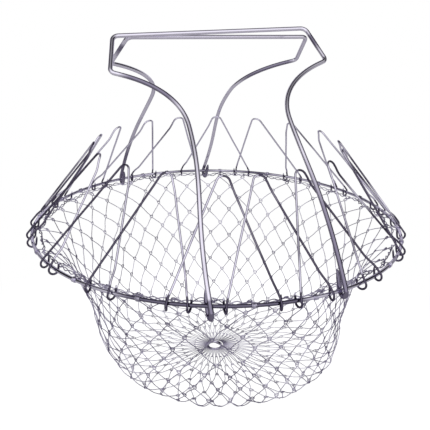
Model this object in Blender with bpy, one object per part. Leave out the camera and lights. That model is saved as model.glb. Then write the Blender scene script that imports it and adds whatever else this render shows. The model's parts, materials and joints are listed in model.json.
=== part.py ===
"""Folding fry basket of bright steel wire.

A net bowl hangs by wire ties in a round rim. Eighteen V-shaped prongs and two swing
handles are hooked round the rim and turn on it. The origin is on the table, under
the middle of the net, +Z is up, and the handles face -Y (front) and +Y (rear).
"""

import math

import bmesh
import bpy
from mathutils import Euler, Vector
from mathutils.geometry import intersect_point_line

MM = 0.001
DEG = math.pi / 180
TURN = 2 * math.pi

# Rim: one closed ring of wire.
RIM_OUTER_DIAMETER = 235 * MM
RIM_WIRE = 2.0 * MM
RIM_HEIGHT = 95.5 * MM
RIM_STEPS = 72

# Prongs: V-shaped wires with an eye at each foot, leaning inward and woven together.
# A span share is the angle between two feet on the rim, in pitches of the prongs.
PRONG_COUNT = 18
PRONG_WIRE = 1.2 * MM
PRONG_SPAN_SHARE = 1.3807
PRONG_APEX_HEIGHT = 70.6 * MM
PRONG_PEAK_RADIUS = 3.6 * MM
PRONG_LEAN = 37 * DEG
PRONG_FIRST_AZIMUTH = 7 * DEG
PRONG_SLIDES_IN_DEGREES = (0, 2, 3, 5, 6, 4, 6, 5, 1, 2, 4, 4, 6, 0, -2, -2, 1, -2)
PRONG_EYE_CLEARANCE = 0.95 * MM
PRONG_EYE_DROP = 0.9 * MM
PRONG_TAIL_TURN = 28 * DEG
PRONG_TAIL_LENGTH = 4.6 * MM
PRONG_PEAK_STEPS = 3

# Weave: each prong's right leg bows inward, so its neighbour's left leg passes outside it.
WEAVE_CLEARANCE = 0.4 * MM
WEAVE_START = 4.0 * MM
WEAVE_RISE = 8.0 * MM
WEAVE_STEP_SHARES = (0.5, 1.0)

# Handles: one closed outline, bent inward above the prongs. They are as long as it takes
# to meet over the middle; the other heights are shares of that. Each one leans inward and
# hangs a little crooked in its hooks, which is its roll.
HANDLE_WIRE = 2.5 * MM
HANDLE_SPAN_SHARE = 1.7585
HANDLE_NECK_WIDTH = 56.2 * MM
HANDLE_NECK_SHARE = 0.5932
HANDLE_SHOULDER_WIDTH = 126.1 * MM
HANDLE_SHOULDER_SHARE = 0.8398
HANDLE_SHOULDER_RADIUS = 3.0 * MM
HANDLE_SHOULDER_SLOPE = 23 * DEG
HANDLE_GRIP_WIDTH = 115.7 * MM
HANDLE_MEETING_GAP = 0.3 * MM
HANDLE_GRIP_RADIUS = 4.0 * MM
HANDLE_BEND = 15.2 * DEG
HANDLE_BEND_START = 45.0 * MM
HANDLE_BEND_END = 85.0 * MM
HANDLE_FRONT_SLIDE = 3.1 * DEG
HANDLE_FRONT_LEAN = 33.6 * DEG
HANDLE_FRONT_ROLL = 2.2 * DEG
HANDLE_REAR_SLIDE = 3.6 * DEG
HANDLE_REAR_LEAN = 35.5 * DEG
HANDLE_REAR_ROLL = 0.9 * DEG
HANDLE_EYE_CLEARANCE = 1.2 * MM
HANDLE_EYE_DROP = 1.4 * MM
HANDLE_TAIL_TURN = 14 * DEG
HANDLE_TAIL_LENGTH = 10.0 * MM
HANDLE_LEG_PULL_SHARES = (0.5, 0.38)
HANDLE_SWEEP_PULL_SHARES = (0.54, 0.5)
HANDLE_LEG_STEPS = 8
HANDLE_SWEEP_STEPS = 7
HANDLE_CORNER_STEPS = 4
HANDLE_LENGTH_TRIES = 24

EYE_STEPS = 6

# Net: a bowl of diamond mesh with a flat base, a top band and a solid middle.
NET_STRAND = 0.9 * MM
NET_COLUMNS = 24
NET_ROWS = 9
NET_TOP_INSET = 7.8 * MM
NET_TOP_DROP = 1.2 * MM
NET_PROFILE_SHARES = (
    (1.0, 0.0),
    (0.955, 0.05),
    (0.905, 0.12),
    (0.855, 0.25),
    (0.808, 0.42),
    (0.772, 0.6),
    (0.745, 0.77),
    (0.717, 0.9),
    (0.675, 0.965),
    (0.596, 1.0),
)
NET_MIDDLE_BAND = 4.2 * MM

# Centre ring: a small closed ring of wire in the middle of the base.
CENTRE_RING_DIAMETER = 11.0 * MM
CENTRE_RING_WIRE = 1.5 * MM

# Ties: closed loops of thin wire round the rim and the net's top band.
TIE_WIRE = 0.8 * MM
TIE_COUNT = 19
TIE_KNOT_MARGIN = 2 * DEG
TIE_STEPS = 4

SEAT_CLEARANCE = 0.3 * MM

# Roundness of the wires, as Blender's bevel resolution.
THIN_ROUND_STEPS = 0
ROUND_STEPS = 1
THICK_ROUND_STEPS = 2

RIM_RADIUS = (RIM_OUTER_DIAMETER - RIM_WIRE) / 2
PRONG_PITCH = TURN / PRONG_COUNT
PRONG_FOOT_REACH = PRONG_PITCH * PRONG_SPAN_SHARE / 2
PRONG_FOOT_WIDTH = 2 * RIM_RADIUS * math.sin(PRONG_FOOT_REACH)
HANDLE_FOOT_REACH = PRONG_PITCH * HANDLE_SPAN_SHARE / 2
HANDLE_FOOT_WIDTH = 2 * RIM_RADIUS * math.sin(HANDLE_FOOT_REACH)
HANDLE_EYE_RADIUS = (RIM_WIRE + HANDLE_WIRE) / 2 + HANDLE_EYE_CLEARANCE
NET_TOP_RADIUS = RIM_RADIUS - NET_TOP_INSET
NET_TOP_HEIGHT = RIM_HEIGHT - NET_TOP_DROP
NET_BASE_HEIGHT = NET_STRAND / 2
NET_HOLE_RADIUS = CENTRE_RING_DIAMETER / 2 + SEAT_CLEARANCE
NET_MIDDLE_RADIUS = NET_HOLE_RADIUS + NET_MIDDLE_BAND


def clear_scene():
    for old in list(bpy.data.objects):
        bpy.data.objects.remove(old, do_unlink=True)


def steel(name, colour, roughness):
    """Bright steel wire of one tint."""
    material = bpy.data.materials.new(name)
    material.use_nodes = True
    shader = material.node_tree.nodes["Principled BSDF"]
    shader.inputs["Base Color"].default_value = (*colour, 1)
    shader.inputs["Metallic"].default_value = 1
    shader.inputs["Roughness"].default_value = roughness
    return material


def add_object(name, data):
    piece = bpy.data.objects.new(name, data)
    bpy.context.scene.collection.objects.link(piece)
    return piece


def wire_curve(name, path, wire, roundness, material, closed=False):
    """Round wire along a path."""
    curve = bpy.data.curves.new(name, "CURVE")
    curve.dimensions = "3D"
    curve.bevel_depth = wire / 2
    curve.bevel_resolution = roundness
    curve.use_fill_caps = True
    spline = curve.splines.new("POLY")
    spline.points.add(len(path) - 1)
    for point, place in zip(spline.points, path):
        point.co = (*place, 1)
    spline.use_cyclic_u = closed
    curve.materials.append(material)
    return curve


def polar(radius, azimuth, height):
    return Vector((radius * math.cos(azimuth), radius * math.sin(azimuth), height))


def smooth_ramp(value):
    held = min(max(value, 0), 1)
    return held * held * (3 - 2 * held)


def fillet(points, radii, steps):
    """Round the inner corners of an open outline with arcs of the given radii."""
    rounded = [points[0]]
    for before, corner, after, radius in zip(points, points[1:], points[2:], radii):
        back = (before - corner).normalized()
        ahead = (after - corner).normalized()
        half = back.angle(ahead) / 2
        centre = corner + (back + ahead).normalized() * radius / math.sin(half)
        start = corner + back * radius / math.tan(half) - centre
        turn = (math.pi - 2 * half) * (-1 if back.x * ahead.y - back.y * ahead.x > 0 else 1)
        for step in range(steps + 1):
            angle = turn * step / steps
            swing = Vector((
                start.x * math.cos(angle) - start.y * math.sin(angle),
                start.x * math.sin(angle) + start.y * math.cos(angle),
            ))
            rounded.append(centre + swing)
    rounded.append(points[-1])
    return rounded


def bezier(start, pull_start, pull_end, end, steps):
    """Points of a cubic curve, both ends included."""
    points = []
    for step in range(steps + 1):
        t = step / steps
        s = 1 - t
        points.append(
            start * s ** 3 + pull_start * (3 * s * s * t) + pull_end * (3 * s * t * t) + end * t ** 3
        )
    return points


def eye_outline(radius, drop, tail_turn, tail_length):
    """Eye round the rim as (outward, up) points, from the tail's tip to the leg's foot."""
    tail_start = Vector((-radius * math.cos(tail_turn), radius * math.sin(tail_turn) - drop))
    tail = Vector((math.sin(tail_turn), math.cos(tail_turn))) * tail_length
    outline = [tail_start + tail]
    first = math.pi - tail_turn
    for step in range(EYE_STEPS + 1):
        angle = first + (TURN - first) * step / EYE_STEPS
        outline.append(Vector((radius * math.cos(angle), radius * math.sin(angle) - drop)))
    return outline


def chord_middle(azimuth, foot_reach):
    return polar(RIM_RADIUS * math.cos(foot_reach), azimuth, RIM_HEIGHT)


def hook_on_rim(piece, azimuth, foot_reach, lean, roll=0):
    """Roll a piece in its own plane, lean it inward and put it over the chord of its feet."""
    piece.location = chord_middle(azimuth, foot_reach)
    piece.rotation_mode = "YXZ"
    piece.rotation_euler = (-lean, -roll, azimuth + TURN / 4)


def prong_azimuths():
    """Middle of each prong: even places round the rim, each slid by a few degrees."""
    azimuths = []
    for number in range(PRONG_COUNT):
        slide = PRONG_SLIDES_IN_DEGREES[number % len(PRONG_SLIDES_IN_DEGREES)] * DEG
        azimuths.append(PRONG_FIRST_AZIMUTH + PRONG_PITCH * number + slide)
    return azimuths


def handle_azimuths():
    return {
        "handle_front": -TURN / 4 - HANDLE_FRONT_SLIDE,
        "handle_rear": TURN / 4 + HANDLE_REAR_SLIDE,
    }


def handle_tilts():
    """Lean and roll of each handle."""
    return {
        "handle_front": (HANDLE_FRONT_LEAN, HANDLE_FRONT_ROLL),
        "handle_rear": (HANDLE_REAR_LEAN, HANDLE_REAR_ROLL),
    }


def prong_path():
    """Centreline of a prong; X along the chord of its feet, Y inward, Z up its slope."""
    eye_radius = (RIM_WIRE + PRONG_WIRE) / 2 + PRONG_EYE_CLEARANCE
    eye = eye_outline(eye_radius, PRONG_EYE_DROP, PRONG_TAIL_TURN, PRONG_TAIL_LENGTH)
    foot = PRONG_FOOT_WIDTH / 2
    corners = [Vector((-foot, 0)), Vector((0, PRONG_APEX_HEIGHT)), Vector((foot, 0))]
    peak = fillet(corners, [PRONG_PEAK_RADIUS], PRONG_PEAK_STEPS)[1:-1]
    weave = PRONG_WIRE + WEAVE_CLEARANCE
    weave_end = peak[-1].y

    def right_leg(height):
        across = foot * (1 - height / PRONG_APEX_HEIGHT)
        rise = smooth_ramp((height - WEAVE_START) / WEAVE_RISE)
        fall = smooth_ramp((weave_end - height) / WEAVE_RISE)
        return Vector((across, weave * min(rise, fall) - eye_radius, height))

    upper = [weave_end - WEAVE_RISE * share for share in WEAVE_STEP_SHARES]
    lower = [WEAVE_START + WEAVE_RISE * share for share in reversed(WEAVE_STEP_SHARES)]
    left_eye = [Vector((-foot, -out, up)) for out, up in eye]
    right_eye = [Vector((foot, -out, up)) for out, up in reversed(eye)]
    top = [Vector((across, -eye_radius, up)) for across, up in peak]
    leg = [right_leg(height) for height in upper + lower + [WEAVE_START]]
    return left_eye + top + leg + right_eye


def handle_side(height):
    """Side view of a handle: (outward, up) where its outline has this height."""
    curvature = HANDLE_BEND / (HANDLE_BEND_END - HANDLE_BEND_START)
    in_bend = min(max(height, HANDLE_BEND_START), HANDLE_BEND_END) - HANDLE_BEND_START
    turned = curvature * in_bend
    below = min(height, HANDLE_BEND_START)
    above = max(height - HANDLE_BEND_END, 0)
    outward = HANDLE_EYE_RADIUS - (1 - math.cos(turned)) / curvature - above * math.sin(turned)
    up = below + math.sin(turned) / curvature + above * math.cos(turned)
    return outward, up


def grip_ends(name, height):
    """Ends of a handle's grip in the basket, if its outline has this height."""
    azimuth = handle_azimuths()[name]
    lean, roll = handle_tilts()[name]
    attitude = Euler((-lean, -roll, azimuth + TURN / 4), "YXZ").to_matrix()
    outward, up = handle_side(height)
    ends = []
    for across in (-HANDLE_GRIP_WIDTH / 2, HANDLE_GRIP_WIDTH / 2):
        reach = attitude @ Vector((across, -outward, up))
        ends.append(chord_middle(azimuth, HANDLE_FOOT_REACH) + reach)
    return ends


def grips_apart(height):
    """Free distance between the two grips, less than zero if they have passed each other."""
    front, rear = (grip_ends(name, height) for name in handle_azimuths())
    rear.reverse()
    free = []
    for end, (start, stop) in [(end, rear) for end in front] + [(end, front) for end in rear]:
        share = intersect_point_line(end, start, stop)[1]
        nearest = start.lerp(stop, min(max(share, 0), 1))
        free.append((nearest - end).length - HANDLE_WIRE)
    passed = any(end.y > other.y for end, other in zip(front, rear))
    return -1 if passed else min(free)


def handle_grip_height():
    """Height of the outline that brings the two grips together over the middle."""
    low, high = HANDLE_BEND_END, HANDLE_BEND_END + RIM_OUTER_DIAMETER
    for _ in range(HANDLE_LENGTH_TRIES):
        middle = (low + high) / 2
        if grips_apart(middle) > HANDLE_MEETING_GAP:
            low = middle
        else:
            high = middle
    return low


def handle_path():
    """Centreline of a handle; X along the chord of its feet, Y inward, Z up its legs."""
    eye = eye_outline(HANDLE_EYE_RADIUS, HANDLE_EYE_DROP, HANDLE_TAIL_TURN, HANDLE_TAIL_LENGTH)
    grip_height = handle_grip_height()
    foot = Vector((HANDLE_FOOT_WIDTH / 2, 0))
    neck = Vector((HANDLE_NECK_WIDTH / 2, HANDLE_NECK_SHARE * grip_height))
    shoulder = Vector((HANDLE_SHOULDER_WIDTH / 2, HANDLE_SHOULDER_SHARE * grip_height))
    grip_corner = Vector((HANDLE_GRIP_WIDTH / 2, grip_height))
    grip_middle = Vector((0, grip_height))
    inward = Vector((-math.cos(HANDLE_SHOULDER_SLOPE), -math.sin(HANDLE_SHOULDER_SLOPE)))
    shelf = shoulder + inward * 2 * HANDLE_SHOULDER_RADIUS

    low_share, high_share = HANDLE_LEG_PULL_SHARES
    foot_pull = Vector((foot.x, neck.y * low_share))
    neck_pull = Vector((neck.x, neck.y * (1 - high_share)))
    leg = bezier(foot, foot_pull, neck_pull, neck, HANDLE_LEG_STEPS)

    up_share, in_share = HANDLE_SWEEP_PULL_SHARES
    sweep_pull = Vector((neck.x, neck.y + (shelf.y - neck.y) * up_share))
    shelf_pull = shelf + inward * (shelf.x - neck.x) * in_share
    sweep = bezier(neck, sweep_pull, shelf_pull, shelf, HANDLE_SWEEP_STEPS)

    radii = [HANDLE_SHOULDER_RADIUS, HANDLE_GRIP_RADIUS]
    head = fillet([shelf, shoulder, grip_corner, grip_middle], radii, HANDLE_CORNER_STEPS)

    half = [Vector((foot.x, -out, up)) for out, up in eye]
    for across, height in leg + sweep[1:] + head[1:-1]:
        out, up = handle_side(height)
        half.append(Vector((across, -out, up)))
    mirrored = [Vector((-place.x, place.y, place.z)) for place in reversed(half)]
    return half + mirrored


def net_profile(share):
    """Radius and height of the net's bowl at a share of its length, rim to middle."""
    depth = NET_TOP_HEIGHT - NET_BASE_HEIGHT
    corners = [
        Vector((NET_TOP_RADIUS * wide, NET_TOP_HEIGHT - depth * deep))
        for wide, deep in NET_PROFILE_SHARES
    ]
    corners.append(Vector((NET_MIDDLE_RADIUS, NET_BASE_HEIGHT)))
    runs = [(b - a).length for a, b in zip(corners, corners[1:])]
    left = share * sum(runs)
    for start, end, run in zip(corners, corners[1:], runs):
        if left <= run:
            return start.lerp(end, left / run)
        left -= run
    return corners[-1]


def knot(row, column):
    """Knot of the net; odd rows are turned half a column."""
    radius, height = net_profile(row / NET_ROWS)
    return polar(radius, (column + row % 2 / 2) * TURN / NET_COLUMNS, height)


def ring_of_verts(sheet, radius, turned, height):
    """One vertex for each column of the net, turned by a share of a column."""
    return [
        sheet.verts.new(polar(radius, (column + turned) * TURN / NET_COLUMNS, height))
        for column in range(NET_COLUMNS)
    ]


def net_mesh():
    """Diamond mesh as one sheet, with a plain top band and a plain middle."""
    sheet = bmesh.new()
    rows = [
        [sheet.verts.new(knot(row, column)) for column in range(NET_COLUMNS)]
        for row in range(NET_ROWS + 1)
    ]
    top, last = rows[0], rows[-1]
    band_place = knot(0, 0) + (knot(0, 0) - knot(2, 0)).normalized() * NET_STRAND
    band = ring_of_verts(sheet, band_place.x, 0, band_place.z)
    middle = ring_of_verts(sheet, NET_HOLE_RADIUS, NET_ROWS % 2 / 2, NET_BASE_HEIGHT)

    diamonds = []
    for column in range(NET_COLUMNS):
        after = (column + 1) % NET_COLUMNS
        diamonds.append(sheet.faces.new((top[column], rows[1][column], top[after])))
        for row in range(1, NET_ROWS):
            beside = (column + row % 2) % NET_COLUMNS
            corners = (rows[row][column], rows[row + 1][beside], rows[row][after], rows[row - 1][beside])
            diamonds.append(sheet.faces.new(corners))
        beside = (column + NET_ROWS % 2) % NET_COLUMNS
        diamonds.append(sheet.faces.new((last[column], last[after], rows[-2][beside])))
        sheet.faces.new((band[column], top[column], top[after], band[after]))
        sheet.faces.new((last[column], middle[column], middle[after], last[after]))
    bmesh.ops.recalc_face_normals(sheet, faces=sheet.faces)
    bmesh.ops.inset_individual(sheet, faces=diamonds, thickness=NET_STRAND / 2, use_even_offset=True)
    bmesh.ops.delete(sheet, geom=diamonds, context="FACES")
    mesh = bpy.data.meshes.new("net")
    sheet.to_mesh(mesh)
    sheet.free()
    return mesh


def make_rim(material):
    path = [polar(RIM_RADIUS, TURN * step / RIM_STEPS, 0) for step in range(RIM_STEPS)]
    curve = wire_curve("rim_ring", path, RIM_WIRE, THICK_ROUND_STEPS, material, closed=True)
    rim = add_object("rim_ring", curve)
    rim.location = (0, 0, RIM_HEIGHT)


def make_prongs(material):
    curve = wire_curve("prong", prong_path(), PRONG_WIRE, ROUND_STEPS, material)
    for number, azimuth in enumerate(prong_azimuths(), 1):
        prong = add_object(f"prong_{number:02d}", curve)
        hook_on_rim(prong, azimuth, PRONG_FOOT_REACH, PRONG_LEAN)


def make_handles(material):
    curve = wire_curve("handle", handle_path(), HANDLE_WIRE, THICK_ROUND_STEPS, material)
    for name, azimuth in handle_azimuths().items():
        handle = add_object(name, curve)
        hook_on_rim(handle, azimuth, HANDLE_FOOT_REACH, *handle_tilts()[name])


def make_net(material):
    net = add_object("net", net_mesh())
    net.data.materials.append(material)
    thick = net.modifiers.new("strand", "SOLIDIFY")
    thick.thickness = NET_STRAND
    thick.offset = 0
    thick.use_even_offset = True


def make_centre_ring(material):
    radius = (CENTRE_RING_DIAMETER - CENTRE_RING_WIRE) / 2
    path = [polar(radius, TURN * step / NET_COLUMNS, 0) for step in range(NET_COLUMNS)]
    curve = wire_curve("net_centre_ring", path, CENTRE_RING_WIRE, ROUND_STEPS, material, closed=True)
    ring = add_object("net_centre_ring", curve)
    ring.location = (0, 0, CENTRE_RING_WIRE / 2)


def foot_azimuths():
    """Azimuth of every eye on the rim, in order."""
    feet = []
    hooked = [(azimuth, PRONG_FOOT_REACH) for azimuth in prong_azimuths()]
    hooked += [(azimuth, HANDLE_FOOT_REACH) for azimuth in handle_azimuths().values()]
    for azimuth, reach in hooked:
        feet += [(azimuth - reach) % TURN, (azimuth + reach) % TURN]
    return sorted(feet)


def tie_azimuths():
    """Middle of each of the longest free stretches of rim, moved off the net's top knots."""
    feet = foot_azimuths()
    pitch = TURN / NET_COLUMNS
    stretches = list(zip(feet, feet[1:] + [feet[0] + TURN]))
    longest = sorted(stretches, key=lambda stretch: stretch[0] - stretch[1])[:TIE_COUNT]
    places = []
    for foot, following in sorted(longest):
        middle = (foot + following) / 2
        past_knot = middle - pitch * round(middle / pitch)
        if abs(past_knot) < TIE_KNOT_MARGIN:
            middle += math.copysign(TIE_KNOT_MARGIN, past_knot) - past_knot
        places.append(middle)
    return places


def tie_path(azimuth):
    """Closed loop round the rim and the net's top band, upright at this azimuth."""
    pitch = TURN / NET_COLUMNS
    from_middle = azimuth % pitch - pitch / 2
    band_radius = NET_TOP_RADIUS * math.cos(pitch / 2) / math.cos(from_middle)
    rim = Vector((RIM_RADIUS, RIM_HEIGHT))
    band = Vector((band_radius, NET_TOP_HEIGHT))
    reach = (RIM_WIRE + TIE_WIRE) / 2 + SEAT_CLEARANCE
    away = (band - rim).normalized()
    side = Vector((-away.y, away.x))
    path = []
    for centre, heading in ((rim, -1), (band, 1)):
        for step in range(TIE_STEPS + 1):
            angle = math.pi * step / TIE_STEPS
            spoke = side * math.cos(angle) + away * math.sin(angle)
            radius, height = centre + spoke * reach * heading
            path.append(polar(radius, azimuth, height))
    return path


def make_ties(material):
    for number, azimuth in enumerate(tie_azimuths(), 1):
        name = f"net_tie_{number:02d}"
        add_object(name, wire_curve(name, tie_path(azimuth), TIE_WIRE, THIN_ROUND_STEPS, material, closed=True))


def main():
    clear_scene()
    make_rim(steel("rim wire", (0.66, 0.66, 0.70), 0.28))
    make_net(steel("net wire", (0.62, 0.62, 0.64), 0.34))
    make_centre_ring(steel("centre ring wire", (0.64, 0.64, 0.68), 0.30))
    make_ties(steel("tie wire", (0.60, 0.60, 0.63), 0.34))
    make_prongs(steel("prong wire", (0.64, 0.64, 0.69), 0.26))
    make_handles(steel("handle wire", (0.66, 0.65, 0.72), 0.24))


main()
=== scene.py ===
import json
import math

import bpy
import numpy as np
from mathutils import Euler, Matrix, Vector


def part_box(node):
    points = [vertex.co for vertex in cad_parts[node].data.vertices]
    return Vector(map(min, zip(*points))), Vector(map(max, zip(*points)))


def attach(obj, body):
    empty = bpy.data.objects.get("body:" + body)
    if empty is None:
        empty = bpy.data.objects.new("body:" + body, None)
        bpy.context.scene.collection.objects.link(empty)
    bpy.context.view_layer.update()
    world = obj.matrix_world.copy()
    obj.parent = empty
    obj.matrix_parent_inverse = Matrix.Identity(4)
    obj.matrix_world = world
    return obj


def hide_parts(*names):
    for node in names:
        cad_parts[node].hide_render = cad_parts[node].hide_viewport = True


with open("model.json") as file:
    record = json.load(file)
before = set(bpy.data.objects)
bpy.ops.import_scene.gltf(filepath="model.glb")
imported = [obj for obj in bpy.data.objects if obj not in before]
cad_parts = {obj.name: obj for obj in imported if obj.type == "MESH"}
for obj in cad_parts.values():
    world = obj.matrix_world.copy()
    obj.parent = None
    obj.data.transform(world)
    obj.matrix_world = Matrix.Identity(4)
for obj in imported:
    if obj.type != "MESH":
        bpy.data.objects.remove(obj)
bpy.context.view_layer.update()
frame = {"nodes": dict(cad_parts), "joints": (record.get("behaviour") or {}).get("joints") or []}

bl_info = {
    "name": "Folding Fry Basket",
    "version": (1, 0, 0),
    "blender": (4, 5, 0),
    "location": "View3D > Sidebar > Fry Basket",
    "description": "Builds a folding fry basket of steel wire on its packed frame",
    "category": "Object",
}

MM = 0.001
TURN = 2 * math.pi
PHOTO_PIXELS = 430
SENSOR_MM = 36.0

RIM_LOW, RIM_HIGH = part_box("rim_ring")
RIM_WIRE = RIM_HIGH.z - RIM_LOW.z
RIM_RADIUS = (RIM_HIGH.x - RIM_LOW.x - RIM_WIRE) / 2
RIM_HEIGHT = (RIM_HIGH.z + RIM_LOW.z) / 2
JOINTS = {joint["child"]: joint for joint in frame["joints"]}
PRONGS = sorted(name for name in frame["nodes"] if name.startswith("prong_"))
TIES = sorted(name for name in frame["nodes"] if name.startswith("net_tie_"))
HANDLES = ("handle_front", "handle_rear")


# Sizes and colours that a user would change.


def length(name, description, millimetres):
    """A size, given in millimetres."""
    return bpy.props.FloatProperty(
        name=name, description=description, default=millimetres * MM, min=0, precision=5,
        subtype="DISTANCE", unit="LENGTH",
    )


def angle(name, description, degrees):
    """An angle, given in degrees."""
    return bpy.props.FloatProperty(
        name=name, description=description, default=math.radians(degrees),
        subtype="ANGLE", unit="ROTATION",
    )


def colour(name, description, default):
    """A colour of a finish."""
    return bpy.props.FloatVectorProperty(
        name=name, description=description, default=default, min=0, max=1, size=3, subtype="COLOR",
    )


def share(name, description, default):
    """A plain share between nothing and all."""
    return bpy.props.FloatProperty(
        name=name, description=description, default=default, min=0, max=1, subtype="FACTOR",
    )


def count(name, description, default):
    """A whole number of like things."""
    return bpy.props.IntProperty(name=name, description=description, default=default, min=1)


class BasketProngSizes(bpy.types.PropertyGroup):
    wire: length("Wire", "Thickness of a prong's wire", 1.2)
    foot_width: length("Foot width", "From eye to eye", 55.6)
    apex_height: length("Apex height", "Where the two legs would meet, along the slope", 70.6)
    peak_radius: length("Peak radius", "Inner bend at the top", 3.6)
    lean: angle("Lean", "Lean inward from upright", 37)
    eye_clearance: length("Eye clearance", "Play between the eye and the rim", 0.95)
    eye_drop: length("Eye drop", "How far the eye hangs under the rim", 0.9)
    tail_turn: angle("Tail turn", "Angle of the cut end", 28)
    tail_length: length("Tail length", "Length of the cut end", 4.6)
    weave: length("Weave", "How far the right leg bows inward", 1.6)
    weave_start: length("Weave start", "Height where the bow starts", 4.0)
    weave_rise: length("Weave rise", "Height over which the bow grows", 8.0)


class BasketHandleSizes(bpy.types.PropertyGroup):
    wire: length("Wire", "Thickness of the handle's wire", 2.5)
    foot_width: length("Foot width", "From hook to hook", 70.4)
    neck_width: length("Neck width", "Across the narrowest place", 56.2)
    neck_height: length("Neck height", "Height of the narrowest place", 95.04)
    shoulder_width: length("Shoulder width", "Across the lower corners of the grip", 126.1)
    shoulder_height: length("Shoulder height", "Height of the lower corners", 134.55)
    shoulder_radius: length("Shoulder radius", "Inner bend of the lower corners", 3.0)
    shoulder_slope: angle("Shoulder slope", "Fall of the wire inward from the lower corners", 23)
    grip_width: length("Grip width", "Across the upper corners of the grip", 115.7)
    grip_height: length("Grip height", "Height of the grip along the outline", 160.22)
    grip_radius: length("Grip radius", "Inner bend of the upper corners", 4.0)
    front_lean: angle("Front lean", "Lean of the front handle inward from upright", 33.6)
    front_roll: angle("Front roll", "How crooked the front handle hangs in its hooks", 2.2)
    rear_lean: angle("Rear lean", "Lean of the rear handle inward from upright", 35.5)
    rear_roll: angle("Rear roll", "How crooked the rear handle hangs in its hooks", 0.9)
    bend: angle("Bend", "Inward bend above the prongs", 15.2)
    bend_start: length("Bend start", "Height where the bend starts", 45.0)
    bend_end: length("Bend end", "Height where the bend ends", 85.0)
    eye_clearance: length("Hook clearance", "Play between the hook and the rim", 1.2)
    eye_drop: length("Hook drop", "How far the hook hangs under the rim", 1.4)
    tail_turn: angle("Tail turn", "Angle of the cut end", 14)
    tail_length: length("Tail length", "Length of the cut end", 10.0)


class BasketNetSizes(bpy.types.PropertyGroup):
    wire: length("Wire", "Thickness of the net's wire", 0.5)
    columns: count("Columns", "Knots in each round", 36)
    courses: count("Courses", "Rounds of wire from the rim to the middle", 17)
    top_inset: length("Top inset", "From the rim's middle in to the wall's top knots", 7.8)
    eye_inset: length("Eye inset", "From the rim's middle in to the selvage at a prong's eye", 5.3)
    tie_inset: length("Tie inset", "From the rim's middle in to the selvage at a tie", 3.7)
    hook_inset: length("Hook inset", "From the rim's middle in to the selvage at a hook", 9.0)
    top_drop: length("Top drop", "From the rim's middle down to the net's top", 1.2)
    base_lift: length("Base lift", "Height of the wires in the base", 1.3)
    knot_radius: length("Knot radius", "Radius of the ring in each knot", 1.15)
    link_width: length("Link width", "Width of the flat link in each knot", 2.3)
    wander: length("Wander", "How far the hand-made mesh strays", 1.8)
    wander_length: length("Wander length", "From one stray to the next", 26.0)
    sway: length("Sway", "How far the bottom of the soft net hangs to one side", 5.5)
    sway_side: angle("Sway side", "Direction in which the net hangs", -19.1)
    centre_ring_wire: length("Centre ring wire", "Thickness of the centre ring", 1.5)
    tie_wire: length("Tie wire", "Thickness of the ties' wire", 0.5)
    selvage_twists: count("Selvage twists", "Turns of the two top wires round each other", 58)


class BasketFinish(bpy.types.PropertyGroup):
    # On the rim, prongs and handles, the bright and dark colours also carry painted light and painted
    # shade. Elsewhere they make only random brighter and duller patches.
    handle: colour("Handle", "Steel of the handles", (0.90, 0.86, 1.00))
    handle_dark: colour("Handle shade", "Duller places of the handles", (0.27, 0.245, 0.34))
    rim: colour("Rim", "Steel of the rim", (0.88, 0.84, 1.00))
    rim_dark: colour("Rim shade", "Duller places of the rim", (0.16, 0.145, 0.21))
    prong: colour("Prong", "Steel of the prongs", (0.86, 0.82, 0.98))
    prong_dark: colour("Prong shade", "Duller places of the prongs", (0.12, 0.105, 0.16))
    net: colour("Net", "Wire of the net", (0.76, 0.72, 0.90))
    net_dark: colour("Net shade", "Duller places of the net", (0.30, 0.27, 0.40))
    edge: colour("Edge", "What a wire reflects at its edge", (0.46, 0.43, 0.54))
    roughness: share("Roughness", "Roughness of the drawn wire", 0.12)
    net_roughness: share("Net roughness", "Roughness of the net's wire", 0.34)
    # Painted shade is laid on the wires of this side, toward the camera, and on the rim within the span to
    # either side of it.
    painted_shade_side: angle("Dull side", "Direction round the basket in which the duller wires face", 250.9)
    painted_shade_span: angle("Dull span", "How far the rim is dull to both sides of that", 20)


class BasketStage(bpy.types.PropertyGroup):
    camera_distance: length("Camera distance", "From the rim's centre", 403.292)
    camera_side: angle("Camera side", "Direction of the camera round the basket", 250.9)
    camera_rise: angle("Camera rise", "Angle of the view above level", 20.7195)
    camera_yaw: angle("Camera yaw", "Turn of the view to the right", -0.17558)
    camera_pitch: angle("Camera pitch", "Turn of the view upward", 0.46932)
    camera_roll: angle("Camera roll", "Turn of the picture", 0.97015)
    focal_pixels: bpy.props.FloatProperty(
        name="Focal length", description="In pixels of the photograph's frame", default=615.347, min=1,
    )
    floor: colour("Floor", "Plain ground", (0.90, 0.90, 0.90))
    shadow: share("Shadow", "How much of the ground's shade shows", 0.30)
    sky: share("Sky", "Strength of the light from all round", 0.55)
    mirrored_dark: share("Mirrored dark", "What the wires mirror from above and from the sides", 0.02)
    mirrored_bright: share("Mirrored bright", "What the wires mirror from behind the camera", 1.0)
    mirrored_far: share("Mirrored far", "What the wires mirror from right behind the basket", 0.8)
    mirrored_floor: share("Mirrored floor", "What the wires mirror of the ground", 0.45)
    shadow_reach: length("Shadow reach", "Where the ground is plain white again", 200.0)


class BasketSettings(bpy.types.PropertyGroup):
    prong: bpy.props.PointerProperty(type=BasketProngSizes)
    handle: bpy.props.PointerProperty(type=BasketHandleSizes)
    net: bpy.props.PointerProperty(type=BasketNetSizes)
    finish: bpy.props.PointerProperty(type=BasketFinish)
    stage: bpy.props.PointerProperty(type=BasketStage)


def settings():
    return bpy.context.scene.fry_basket


# Node trees, written as Python expressions.


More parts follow.
